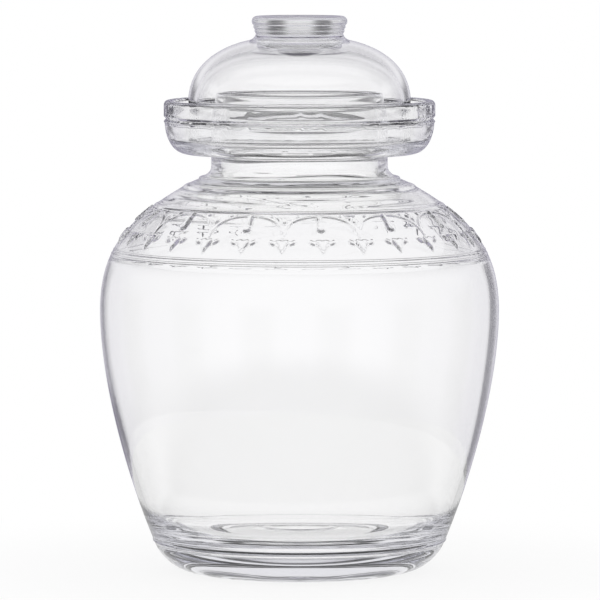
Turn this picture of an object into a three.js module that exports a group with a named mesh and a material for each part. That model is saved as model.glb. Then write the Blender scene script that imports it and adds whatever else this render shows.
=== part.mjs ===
// Glass fermentation crock: a big-bellied jar whose neck stands in a water moat,
// closed by a domed lid that sits down in the moat.
// Millimetres, +Z up. The crock stands on z = 0 and its axis is the Z axis.
import * as THREE from 'three';

// Facets round the axis: three to each arch of the border on the shoulder
const ARCHES = 14;
const FACETS_PER_ARCH = 3;

// Foot and heel of the jar
const FOOT_RADIUS = 50;        // outer edge of the flat ring that the jar stands on
const FOOT_WIDTH = 6;          // width of that ring
const PUSH_UP = 3;             // rise of the underside at the axis
const PUSH_UP_SLOPE = -12;     // slope of the underside where it meets the ring, in degrees from level
const HEEL_RADIUS = 72.9;      // where the round heel runs out into the belly
const HEEL_RISE = 14.7;        // height of the heel
const HEEL_SLOPE = 67.4;       // slope of the wall there, in degrees from level
const FOOT_PULL = 13;          // how far the foot's level line carries into the heel
const HEEL_PULL = 7;           // how far the wall's slope carries down into the heel

// Belly and shoulder of the jar
const BELLY_RADIUS = 99.7;     // largest radius
const BELLY_RISE = 116;        // from the heel up to the largest radius
const BELLY_PULL = 35.2;       // roundness of the belly below its largest radius
const SHOULDER_RISE = 63.3;    // from the largest radius up to the top of the shoulder
const SHOULDER_SLOPE = 29.2;   // slope of the shoulder at its top, in degrees from level
const SHOULDER_LOW_PULL = 30.5;
const SHOULDER_TOP_PULL = 35.2;
const WALL = 3;                // blown wall of the belly and shoulder

// Raised rings on the shoulder: depth of each below the shoulder's top, and its section
const BORDER_LOW_DEPTH = 34.2;
const BORDER_LOW_WIDTH = 3.2;
const BORDER_LOW_HEIGHT = 1;
const BORDER_TOP_DEPTH = 10.6;
const BORDER_TOP_WIDTH = 2;
const BORDER_TOP_HEIGHT = 0.7;
const STEP_DEPTH = 1.1;
const STEP_WIDTH = 2;
const STEP_HEIGHT = 0.8;

// Thick bottom of the jar
const FLOOR = 9;               // glass over the push-up at the axis
const FLOOR_RADIUS = 40;       // flat part of the inner floor
const FLOOR_DISH = 1;          // rise of the inner floor from the axis to its edge
const BOTTOM_DEPTH = 29;       // height at which the wall starts to thicken
const BOTTOM_WALL_PULL = 13;
const BOTTOM_FLOOR_PULL = 24;

// Neck and its collar
const NECK_RADIUS = 44;        // outer radius of the neck
const NECK_WALL = 4.5;
const NECK_RISE = 45.5;        // from the top of the shoulder up to the lip
const LIP_DRAW = 2.2;          // how much narrower the neck is at its lip
const LIP_TAPER = 11;          // height over which the neck draws in to the lip
const LIP_WALL = 4.8;
const COLLAR_REACH = 6.2;      // collar bead beyond the neck
const COLLAR_ROUND = 1.8;      // radius of the collar bead
const COLLAR_RISE = 2.6;       // bead's centre above the top of the shoulder
const COLLAR_START = -20;      // where the bead leaves the shoulder, in degrees from level
const SHOULDER_LEDGE = 4.7;    // top of the shoulder beyond the collar bead
const NECK_FILLET = 4.1;       // from the bead's top up to the straight neck
const NECK_INSIDE_PULL = 7;    // roundness of the shoulder's inside where it turns up the neck
const NECK_INSIDE_RISE = 9;    // from the top of the shoulder to the neck's straight inside

// Water moat
const MOAT_CLEAR = 14.7;       // underside of the moat above the top of the shoulder
const MOAT_FLOOR = 6.6;        // glass under the water
const MOAT_DEPTH = 20;         // from the floor up to the rim
const MOAT_WALL = 5;           // wall at the rim
const MOAT_TAPER = 1.5;        // how much narrower the water space is at its floor
const MOAT_GAP = 7.8;          // from the lid's skirt to the wall at the rim
const MOAT_FILLET = 3;         // round corners of the water space
const MOAT_TUCK = 2;           // round corner where the underside meets the neck
const MOAT_BILGE = 11.5;       // how far the round underside reaches in from the rim
const MOAT_BILGE_RISE = 17.4;  // height of the round underside
const MOAT_BILGE_PULL = 7;
const MOAT_BILGE_TOP_PULL = 8;
const MOAT_BILGE_SLOPE = 87;   // slope of the outer wall at the mould line, in degrees from level
const MOAT_DRAFT = 0.7;        // how much the outer wall leans out above the mould line
const MOULD_LINE_HEIGHT = 0.5; // ridge left by the mould on the outer wall
const MOULD_LINE_WIDTH = 1.4;

// Lid
const SEAT_GAP = 0.3;          // air between the lid's rim and the floor that it stands on
const NECK_GAP = 7.5;          // from the neck to the lid's skirt
const SKIRT_WALL = 4;
const DOME_SPRING = 5.5;       // the dome springs this far below the neck's lip
const DOME_RISE = 31.2;        // from there up to the foot of the knob
const DOME_SLOPE = 12;         // slope of the dome at the knob, in degrees from level
const DOME_SIDE_PULL = 19;
const DOME_TOP_PULL = 15;
const CROWN = 6;               // glass of the dome at the foot of the knob
const CEILING_PULL = 36;       // how far the flat of the ceiling carries out
const KNOB_WAIST = 21.8;       // radius of the knob's waist
const KNOB_FLARE = 3.2;        // how far the knob's foot spreads beyond the waist
const KNOB_FOOT = 3.4;         // height of that spread
const KNOB_LIP = 2;            // how far the lip stands out from the waist
const KNOB_LIP_ROUND = 2.6;    // radius of the lip
const KNOB_LIP_START = -50;    // where the lip leaves the waist, in degrees from level
const KNOB_RISE = 10.8;        // from the knob's foot up to its top
const KNOB_DISH = 1.5;         // hollow in the top of the knob

// Glass
const GLASS_TINT = 0xf2f4f7;

// Places that follow from the sizes, as radius and height
const at = (radius, height) => new THREE.Vector2(radius, height);
const bellyHeight = HEEL_RISE + BELLY_RISE;
const shoulderHeight = bellyHeight + SHOULDER_RISE;
const lipHeight = shoulderHeight + NECK_RISE;
const moatUnderside = shoulderHeight + MOAT_CLEAR;
const moatFloor = moatUnderside + MOAT_FLOOR;
const moatRim = moatFloor + MOAT_DEPTH;
const skirtInside = NECK_RADIUS + NECK_GAP;
const skirtOutside = skirtInside + SKIRT_WALL;
const moatInside = skirtOutside + MOAT_GAP;
const moatOutside = moatInside + MOAT_WALL;

/** A point that lies a distance from another, in a direction given in degrees from level. */
function polar(from, degrees, distance) {
  const angle = THREE.MathUtils.degToRad(degrees);
  return at(from.x + distance * Math.cos(angle), from.y + distance * Math.sin(angle));
}

/** A smooth curve that leaves one point and reaches another in given directions. */
function sweep(start, startDegrees, startPull, end, endDegrees, endPull) {
  const leave = polar(start, startDegrees, startPull);
  const arrive = polar(end, endDegrees, -endPull);
  return new THREE.CubicBezierCurve(start, leave, arrive, end);
}

/** An arc round a centre, from one direction to another in degrees. */
function arc(centre, radius, fromDegrees, toDegrees) {
  const from = THREE.MathUtils.degToRad(fromDegrees);
  const to = THREE.MathUtils.degToRad(toDegrees);
  return new THREE.EllipseCurve(centre.x, centre.y, radius, radius, from, to, toDegrees < fromDegrees);
}

/** Points along a stretch of a curve. */
function stretch(curve, steps, from = 0, to = 1) {
  return Array.from({ length: steps + 1 }, (_, i) => curve.getPoint(from + (to - from) * i / steps));
}

/** Where a rising curve passes a height, found by halving. */
function placeAtHeight(curve, height) {
  let low = 0;
  let high = 1;
  while (high - low > 1e-6) {
    const middle = (low + high) / 2;
    if (curve.getPoint(middle).y < height) low = middle;
    else high = middle;
  }
  return low;
}

/** The point of a curve moved square to it, to its right as it is drawn. */
function offsetPoint(curve, t, distance) {
  const tangent = curve.getTangent(t);
  const point = curve.getPoint(t);
  return at(point.x + tangent.y * distance, point.y - tangent.x * distance);
}

/** Points along a stretch of a curve, each moved square to it. */
function offsetStretch(curve, steps, from, to, distance) {
  return Array.from({ length: steps + 1 }, (_, i) => offsetPoint(curve, from + (to - from) * i / steps, distance));
}

/** A raised ring on a curve: half a wave that swells outwards and dies back into the curve. */
function raisedRing(curve, height, width, rise, steps) {
  const from = placeAtHeight(curve, height - width / 2);
  const to = placeAtHeight(curve, height + width / 2);
  const points = Array.from({ length: steps + 1 }, (_, i) => {
    const share = i / steps;
    return offsetPoint(curve, from + (to - from) * share, rise * Math.sin(Math.PI * share));
  });
  return { from, to, points };
}

/** Turns a closed outline, drawn with the solid on its left, round the Z axis. */
function turned(outline) {
  const points = outline.filter((p, i) => i === 0 || p.distanceTo(outline[i - 1]) > 1e-4);
  const geometry = new THREE.LatheGeometry(points, ARCHES * FACETS_PER_ARCH);
  return geometry.rotateX(Math.PI / 2);
}

/** The shoulder's outer line, from the widest place up, with its three raised rings. */
function ringedShoulder(shoulder) {
  const rings = [
    raisedRing(shoulder, shoulderHeight - BORDER_LOW_DEPTH, BORDER_LOW_WIDTH, BORDER_LOW_HEIGHT, 4),
    raisedRing(shoulder, shoulderHeight - BORDER_TOP_DEPTH, BORDER_TOP_WIDTH, BORDER_TOP_HEIGHT, 4),
    raisedRing(shoulder, shoulderHeight - STEP_DEPTH, STEP_WIDTH, STEP_HEIGHT, 4),
  ];
  const plainSteps = [4, 4, 2];
  let place = 0;
  const line = rings.flatMap((ring, i) => {
    const plain = stretch(shoulder, plainSteps[i], place, ring.from);
    place = ring.to;
    return [...plain, ...ring.points];
  });
  return [...line, shoulder.getPoint(1)];
}

/** The neck's foot: a bead round the top of the shoulder and a hollow curve up to the neck. */
function collar() {
  const bead = at(NECK_RADIUS + COLLAR_REACH - COLLAR_ROUND, shoulderHeight + COLLAR_RISE);
  const beadTop = polar(bead, 90, COLLAR_ROUND);
  const neckFoot = at(NECK_RADIUS, beadTop.y + NECK_FILLET);
  const pull = Math.min(NECK_FILLET, bead.x - NECK_RADIUS) / 2;
  return [
    ...stretch(arc(bead, COLLAR_ROUND, COLLAR_START, 90), 4),
    ...stretch(sweep(beadTop, 180, pull, neckFoot, 90, pull), 3),
  ];
}

/** The moat's section, from the neck out under it, over its rim and back to the neck. */
function moat() {
  const tuck = at(NECK_RADIUS, moatUnderside - MOAT_TUCK);
  const underside = at(NECK_RADIUS + MOAT_TUCK, moatUnderside);
  const bilge = at(moatOutside - MOAT_BILGE, moatUnderside);
  const wallFoot = at(moatOutside - MOAT_DRAFT, moatUnderside + MOAT_BILGE_RISE);
  const mouldTop = wallFoot.y + MOULD_LINE_WIDTH;
  const rimRound = MOAT_WALL / 2;
  const rim = at(moatOutside - rimRound, moatRim - rimRound);
  const outerCorner = at(moatInside - MOAT_TAPER, moatFloor + MOAT_FILLET);
  const outerFloor = at(outerCorner.x - MOAT_FILLET, moatFloor);
  const innerFloor = at(NECK_RADIUS + MOAT_FILLET, moatFloor);
  const innerCorner = at(NECK_RADIUS, moatFloor + MOAT_FILLET);
  const round = MOAT_FILLET / 2;
  return [
    ...stretch(sweep(tuck, 90, MOAT_TUCK / 2, underside, 0, MOAT_TUCK / 2), 2),
    ...stretch(sweep(bilge, 0, MOAT_BILGE_PULL, wallFoot, MOAT_BILGE_SLOPE, MOAT_BILGE_TOP_PULL), 6),
    at(wallFoot.x + MOULD_LINE_HEIGHT, (wallFoot.y + mouldTop) / 2),
    at(wallFoot.x, mouldTop),
    ...stretch(arc(rim, rimRound, 0, 180), 4),
    ...stretch(sweep(outerCorner, -90, round, outerFloor, 180, round), 3),
    ...stretch(sweep(innerFloor, 180, round, innerCorner, 90, round), 3),
  ];
}

/** The neck above the moat, over its rounded lip and down inside to the shoulder. */
function neckAndLip() {
  const lipRound = LIP_WALL / 2;
  const lip = at(NECK_RADIUS - LIP_DRAW - lipRound, lipHeight - lipRound);
  return [
    at(NECK_RADIUS, lip.y - LIP_TAPER),
    ...stretch(arc(lip, lipRound, 0, 180), 6),
    at(NECK_RADIUS - NECK_WALL, lip.y - LIP_TAPER),
  ];
}

/** The jar: foot, belly, ringed shoulder, collar, moat and neck in one piece of glass. */
function jar() {
  const footInside = at(FOOT_RADIUS - FOOT_WIDTH, 0);
  const footEdge = at(FOOT_RADIUS, 0);
  const heelTop = at(HEEL_RADIUS, HEEL_RISE);
  const widest = at(BELLY_RADIUS, bellyHeight);
  const shoulderTop = at(NECK_RADIUS + COLLAR_REACH + SHOULDER_LEDGE, shoulderHeight);
  const upShoulder = 180 - SHOULDER_SLOPE;
  const heel = sweep(footEdge, 0, FOOT_PULL, heelTop, HEEL_SLOPE, HEEL_PULL);
  const belly = sweep(heelTop, HEEL_SLOPE, BELLY_PULL, widest, 90, BELLY_PULL);
  const shoulder = sweep(widest, 90, SHOULDER_LOW_PULL, shoulderTop, upShoulder, SHOULDER_TOP_PULL);

  const thickens = placeAtHeight(belly, BOTTOM_DEPTH);
  const wallSlope = THREE.MathUtils.radToDeg(belly.getTangent(thickens).angle());
  const wallEnd = offsetPoint(belly, thickens, -WALL);
  const floorEdge = at(FLOOR_RADIUS, PUSH_UP + FLOOR + FLOOR_DISH);
  const neckEnd = at(NECK_RADIUS - NECK_WALL, shoulderHeight + NECK_INSIDE_RISE);
  const shoulderEnd = offsetPoint(shoulder, 1, -WALL);
  const underPull = footInside.x / 3;
  return turned([
    ...stretch(sweep(at(0, PUSH_UP), 0, underPull, footInside, PUSH_UP_SLOPE, underPull), 3),
    ...stretch(heel, 5),
    ...stretch(belly, 9),
    ...ringedShoulder(shoulder),
    ...collar(),
    ...moat(),
    ...neckAndLip(),
    ...stretch(sweep(neckEnd, -90, NECK_INSIDE_PULL, shoulderEnd, -SHOULDER_SLOPE, NECK_INSIDE_PULL), 4),
    ...offsetStretch(shoulder, 7, 1, 0, -WALL),
    ...offsetStretch(belly, 7, 1, thickens, -WALL),
    ...stretch(sweep(wallEnd, wallSlope + 180, BOTTOM_WALL_PULL, floorEdge, 180, BOTTOM_FLOOR_PULL), 5),
    at(0, PUSH_UP + FLOOR),
  ]);
}

/** The lid: skirt, dome and solid knob in one piece of glass. */
function lid() {
  const rimRound = SKIRT_WALL / 2;
  const rim = at(skirtInside + rimRound, moatFloor + SEAT_GAP + rimRound);
  const spring = lipHeight - DOME_SPRING;
  const knobFoot = at(KNOB_WAIST + KNOB_FLARE, spring + DOME_RISE);
  const waist = at(KNOB_WAIST, knobFoot.y + KNOB_FOOT);
  const knobTop = knobFoot.y + KNOB_RISE;
  const knobLip = at(KNOB_WAIST + KNOB_LIP - KNOB_LIP_ROUND, knobTop - KNOB_LIP_ROUND);
  const ceiling = at(0, knobFoot.y - CROWN);
  const upDome = 180 - DOME_SLOPE;
  const dome = sweep(at(skirtOutside, spring), 90, DOME_SIDE_PULL, knobFoot, upDome, DOME_TOP_PULL);
  const underDome = sweep(ceiling, 0, CEILING_PULL, at(skirtInside, spring), -90, DOME_SIDE_PULL);
  const lipTop = at(knobLip.x, knobTop);
  const dishMiddle = at(0, knobTop - KNOB_DISH);
  const spread = Math.min(KNOB_FLARE, KNOB_FOOT) / 2;
  return turned([
    ...stretch(underDome, 9),
    ...stretch(arc(rim, rimRound, -180, 0), 5),
    ...stretch(dome, 9),
    ...stretch(sweep(knobFoot, upDome, spread, waist, 90, spread), 3),
    ...stretch(arc(knobLip, KNOB_LIP_ROUND, KNOB_LIP_START, 90), 5),
    ...stretch(sweep(lipTop, 180, KNOB_LIP_ROUND, dishMiddle, 180, knobLip.x / 2), 3),
  ]);
}

/** One named piece of clear pressed glass. */
function glassPiece(name, geometry) {
  const material = new THREE.MeshStandardMaterial({
    color: GLASS_TINT, roughness: 0.03, metalness: 0, transparent: true, opacity: 0.35,
  });
  const mesh = new THREE.Mesh(geometry, material);
  mesh.name = name;
  return mesh;
}

const crock = new THREE.Group();
crock.add(glassPiece('jar', jar()), glassPiece('lid', lid()));

export default crock;
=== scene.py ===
"""Looks of a glass fermentation crock: a water-seal jar and its domed lid, in clear pressed and blown glass.

The crock's sizes are in millimetres and become metres where a mesh is made. The studio's are in metres,
unless their name says otherwise. The foot stands on z = 0, the axis is Z, and the camera's side faces -Y.
"""

import logging
import math
from dataclasses import dataclass, field
from enum import Enum

import bpy
import numpy as np
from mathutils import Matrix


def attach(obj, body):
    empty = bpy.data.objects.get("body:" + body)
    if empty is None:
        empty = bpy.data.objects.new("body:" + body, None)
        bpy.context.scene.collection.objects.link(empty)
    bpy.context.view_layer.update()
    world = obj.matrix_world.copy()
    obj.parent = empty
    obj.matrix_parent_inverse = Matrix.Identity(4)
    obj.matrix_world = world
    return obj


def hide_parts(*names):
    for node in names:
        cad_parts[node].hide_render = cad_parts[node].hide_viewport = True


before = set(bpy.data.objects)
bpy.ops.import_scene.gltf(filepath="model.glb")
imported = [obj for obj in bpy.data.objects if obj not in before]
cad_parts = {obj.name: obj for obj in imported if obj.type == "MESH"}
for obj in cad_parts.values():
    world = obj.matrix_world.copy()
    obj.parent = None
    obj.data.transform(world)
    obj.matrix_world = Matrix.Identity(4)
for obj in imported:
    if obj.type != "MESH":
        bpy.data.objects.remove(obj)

LOG = logging.getLogger("crock")
MM = 0.001
SAME_POINT = 1e-4
TINY = 1e-6
WHITE = (1.0, 1.0, 1.0, 1.0)
FRONT_DEGREES = -90.0


class Zone(Enum):
    """What a stretch of an outline is on the real glass, which decides how it differs from a true turn."""

    PLAIN = 0
    BORDER = 1
    BAND = 2
    INSIDE = 3
    LOW_RING = 4


def linear_colour(code: str) -> tuple[float, ...]:
    """Turns an sRGB hex colour into the linear colour that shaders use.

    Args:
        code: six hex digits.

    Returns:
        Red, green and blue from 0 to 1, by the sRGB curve, and full alpha.
    """
    parts = np.array([int(code[i:i + 2], 16) for i in (0, 2, 4)]) / 255.0
    low, high = parts / 12.92, ((parts + 0.055) / 1.055) ** 2.4
    return (*(float(v) for v in np.where(parts <= 0.04045, low, high)), 1.0)


def add_node(tree: bpy.types.NodeTree, kind: str, inputs: dict | None = None, **options) -> bpy.types.Node:
    """Adds one node, sets its options, and sets or links its inputs.

    Args:
        tree: the node tree that gets the node.
        kind: Blender's name for the node type.
        inputs: input name or number, to a value, or to the socket or the node whose first socket feeds it.
        options: the node's own settings.

    Returns:
        The new node.
    """
    node = tree.nodes.new(kind)
    for name, value in options.items():
        setattr(node, name, value)
    for key, value in (inputs or {}).items():
        source = value.outputs[0] if isinstance(value, bpy.types.Node) else value
        if isinstance(source, bpy.types.NodeSocket):
            tree.links.new(source, node.inputs[key])
        else:
            node.inputs[key].default_value = source
    return node


def smooth_step(low: float, high: float, value: np.ndarray) -> np.ndarray:
    """A soft step: 0 below low, 1 above high, and the cubic 3s^2 - 2s^3 between them."""
    share = np.clip((value - low) / (high - low), 0.0, 1.0)
    return share * share * (3.0 - 2.0 * share)


def polar(start: np.ndarray, degrees: float, distance: float) -> np.ndarray:
    """The point that lies a distance from another, in a direction given in degrees from level."""
    angle = math.radians(degrees)
    return np.asarray(start, float) + distance * np.array([math.cos(angle), math.sin(angle)])


def sweep(start: tuple, leave: float, pull: float, end: tuple, arrive: float, hold: float,
          steps: int) -> np.ndarray:
    """A cubic curve between two points of an outline.

    The two inner control points lie on the lines along which the curve leaves its start and reaches its end.

    Args:
        start: radius and height where it starts.
        leave: direction there, in degrees from level.
        pull: distance of the first inner control point.
        end: radius and height where it ends.
        arrive: direction there.
        hold: distance of the second inner control point.
        steps: number of straight steps.

    Returns:
        The points, one more than the steps.
    """
    first, last = np.asarray(start, float), np.asarray(end, float)
    second, third = polar(first, leave, pull), polar(last, arrive, -hold)
    t = np.linspace(0.0, 1.0, steps + 1)[:, None]
    s = 1.0 - t
    return s**3 * first + 3 * s * s * t * second + 3 * s * t * t * third + t**3 * last


def arc(centre: tuple, radius: float, start: float, end: float, steps: int) -> np.ndarray:
    """Points of a circle's arc between two directions in degrees."""
    angle = np.radians(np.linspace(start, end, steps + 1))
    return np.asarray(centre, float) + radius * np.stack([np.cos(angle), np.sin(angle)], axis=1)


def straight(start: tuple, end: tuple, steps: int) -> np.ndarray:
    """Evenly spaced points of a straight line."""
    return np.linspace(np.asarray(start, float), np.asarray(end, float), steps + 1)


def right_normals(points: np.ndarray) -> np.ndarray:
    """Unit normals on the right of a line of points, from the direction between each point's neighbours."""
    along = np.gradient(points, axis=0)
    along /= np.linalg.norm(along, axis=1, keepdims=True)
    return np.stack([along[:, 1], -along[:, 0]], axis=1)


class MeasuredLine:
    """A line of points that can be read by the distance along it or by height."""

    def __init__(self, points: np.ndarray) -> None:
        """Keeps the points with their normals and the distance of each from the first.

        Args:
            points: radius and height of each point, rising.
        """
        self.points = points
        self.normals = right_normals(points)
        steps = np.linalg.norm(np.diff(points, axis=0), axis=1)
        self.distance = np.concatenate([[0.0], np.cumsum(steps)])

    def at_height(self, height: float) -> float:
        """The distance along the line at which it passes a height."""
        return float(np.interp(height, self.points[:, 1], self.distance))

    def read(self, distance: np.ndarray, offset: np.ndarray | float = 0.0) -> np.ndarray:
        """Points at given distances along the line, each moved by its offset along the normal."""
        place, normal = (
            np.stack([np.interp(distance, self.distance, column) for column in table.T], axis=1)
            for table in (self.points, self.normals)
        )
        return place + normal * np.reshape(np.broadcast_to(offset, np.shape(distance)), (-1, 1))


@dataclass
class Outline:
    """The section of a turned piece: radius and height, drawn with the glass on the left."""

    stretches: list[tuple[np.ndarray, Zone]] = field(default_factory=list)

    def add(self, points: np.ndarray, zone: Zone = Zone.PLAIN) -> None:
        """Adds a stretch of points that lie in one zone."""
        self.stretches.append((np.asarray(points, float), zone))

    def rows(self) -> tuple[np.ndarray, np.ndarray]:
        """Joins the stretches and drops points that repeat.

        Returns:
            The points, and the zone number of each.
        """
        points = np.concatenate([p for p, _ in self.stretches])
        zones = np.concatenate([np.full(len(p), z.value) for p, z in self.stretches])
        gap = np.linalg.norm(np.diff(points, axis=0), axis=1)
        keep = np.concatenate([[True], gap > SAME_POINT])
        return points[keep], zones[keep]


class TurnedMesh:
    """Builds one closed mesh from bands of rings, where a band may have more columns than its neighbours."""

    def __init__(self) -> None:
        """Starts with no vertices and no faces."""
        self.vertices: list[np.ndarray] = []
        self.quads: list[np.ndarray] = []
        self.triangles: list[np.ndarray] = []
        self.count = 0
        self.last_ring = np.empty(0, int)

    def band(self, places: np.ndarray) -> None:
        """Adds rings of equal size and joins them to what came before.

        Args:
            places: array of rings, columns and coordinates. One column makes a pole.
        """
        rings, columns, _ = places.shape
        ids = self.count + np.arange(rings * columns).reshape(rings, columns)
        self.vertices.append(places.reshape(-1, 3))
        self.count += rings * columns
        if self.last_ring.size:
            self._join(self.last_ring, ids[0])
        low, high = ids[:-1], ids[1:]
        if columns > 1:
            faces = np.stack([low, np.roll(low, -1, 1), np.roll(high, -1, 1), high], axis=2)
            self.quads.append(faces.reshape(-1, 4))
        self.last_ring = ids[-1]

    def pole(self, height: float) -> None:
        """Adds one point on the axis, which closes the mesh there."""
        self.band(np.array([[[0.0, 0.0, height]]]))

    def _join(self, low: np.ndarray, high: np.ndarray) -> None:
        """Joins two rings: by quads if they match, and otherwise by fans from the one with fewer columns."""
        if low.size == high.size:
            self.quads.append(np.stack([low, np.roll(low, -1), np.roll(high, -1), high], axis=1))
            return
        fine_is_high = high.size > low.size
        coarse, fine = (low, high) if fine_is_high else (high, low)
        share = fine.size // coarse.size
        start = fine.reshape(coarse.size, share)
        end = np.roll(fine, -1).reshape(coarse.size, share)
        left = np.broadcast_to(coarse[:, None], start.shape)
        right = np.broadcast_to(np.roll(coarse, -1)[:, None], start.shape)
        near_left = np.arange(share)[None, :] < (share + 1) // 2
        corner = np.where(near_left, left, right) if coarse.size > 1 else left
        fans = [corner, end, start] if fine_is_high else [start, end, corner]
        self.triangles.append(np.stack(fans, axis=2).reshape(-1, 3))
        if coarse.size > 1:
            middle = end[:, (share + 1) // 2 - 1]
            wedge = [left[:, 0], right[:, 0], middle] if fine_is_high else [middle, right[:, 0], left[:, 0]]
            self.triangles.append(np.stack(wedge, axis=1))

    def piece(self, name: str, material: bpy.types.Material) -> bpy.types.Object:
        """Makes the Blender object, with smooth faces.

        Args:
            name: the piece's name.
            material: its finish.

        Returns:
            The object, at the origin.
        """
        places = np.concatenate(self.vertices) * MM
        quads = np.concatenate(self.quads)
        triangles = np.concatenate(self.triangles) if self.triangles else np.empty((0, 3), int)
        corners = np.concatenate([quads.ravel(), triangles.ravel()]).astype(np.int32)
        sizes = np.concatenate([np.full(len(quads), 4), np.full(len(triangles), 3)])
        starts = np.concatenate([[0], np.cumsum(sizes)[:-1]]).astype(np.int32)
        mesh = bpy.data.meshes.new(name)
        mesh.vertices.add(len(places))
        mesh.vertices.foreach_set("co", places.astype(np.float32).ravel())
        mesh.loops.add(len(corners))
        mesh.loops.foreach_set("vertex_index", corners)
        mesh.polygons.add(len(sizes))
        mesh.polygons.foreach_set("loop_start", starts)
        mesh.update(calc_edges=True)
        mesh.validate()
        mesh.polygons.foreach_set("use_smooth", np.ones(len(mesh.polygons), bool))
        mesh.materials.append(material)
        piece = bpy.data.objects.new(name, mesh)
        bpy.context.scene.collection.objects.link(piece)
        return piece


def turn(points: np.ndarray, normals: np.ndarray, columns: int,
         offset: np.ndarray | None = None) -> np.ndarray:
    """Carries outline points round the Z axis.

    Each point goes round a circle of its own radius, and moves along its normal by the offset at that angle.

    Args:
        points: radius and height of each ring.
        normals: outward normal of each ring in the section.
        columns: number of places round the axis.
        offset: how far each place moves along its normal, as rings by columns.

    Returns:
        Places as rings, columns and coordinates.
    """
    angle = 2.0 * np.pi * np.arange(columns) / columns
    shift = np.zeros((len(points), columns)) if offset is None else offset
    radius = points[:, :1] + shift * normals[:, :1]
    height = points[:, 1:] + shift * normals[:, 1:]
    return np.stack([radius * np.cos(angle), radius * np.sin(angle), height + 0.0 * angle], axis=2)


@dataclass(frozen=True)
class ClearGlass:
    """Soda-lime glass, pressed and blown, then fire-polished.

    Fire polish leaves it as smooth as water, so it mirrors and bends light sharply. It takes a little light
    on the way through, which shows only where the path is long: in the edges, the moat and the bottom.
    """

    name: str = "soda_lime_glass_fire_polished"
    surface: str = "FFFFFF"
    inside: str = "F5F5F7"
    density: float = 20.0
    ior: float = 1.52
    roughness: float = 0.0
    cord_mm: float = 26.0
    cord_depth_mm: float = 0.02

    def material(self) -> bpy.types.Material:
        """Makes the material: a clear shader with faint cords in the glass, and a pale absorption inside.

        Returns:
            The material.
        """
        material = bpy.data.materials.new(self.name)
        material.use_nodes = True
        tree = material.node_tree
        tree.nodes.clear()
        place = add_node(tree, "ShaderNodeTexCoord")
        cords = add_node(tree, "ShaderNodeTexNoise", {
            "Vector": place.outputs["Object"],
            "Scale": 1.0 / (self.cord_mm * MM),
            "Detail": 1.0,
        })
        bump = add_node(tree, "ShaderNodeBump", {
            "Height": cords.outputs["Fac"],
            "Strength": 1.0,
            "Distance": self.cord_depth_mm * MM,
        })
        shader = add_node(tree, "ShaderNodeBsdfPrincipled", {
            "Base Color": linear_colour(self.surface),
            "Roughness": self.roughness,
            "IOR": self.ior,
            "Transmission Weight": 1.0,
            "Normal": bump.outputs["Normal"],
        })
        volume = add_node(tree, "ShaderNodeVolumeAbsorption", {
            "Color": linear_colour(self.inside),
            "Density": self.density,
        })
        add_node(tree, "ShaderNodeOutputMaterial", {
            "Surface": shader.outputs["BSDF"],
            "Volume": volume.outputs["Volume"],
        })
        return material


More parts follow.
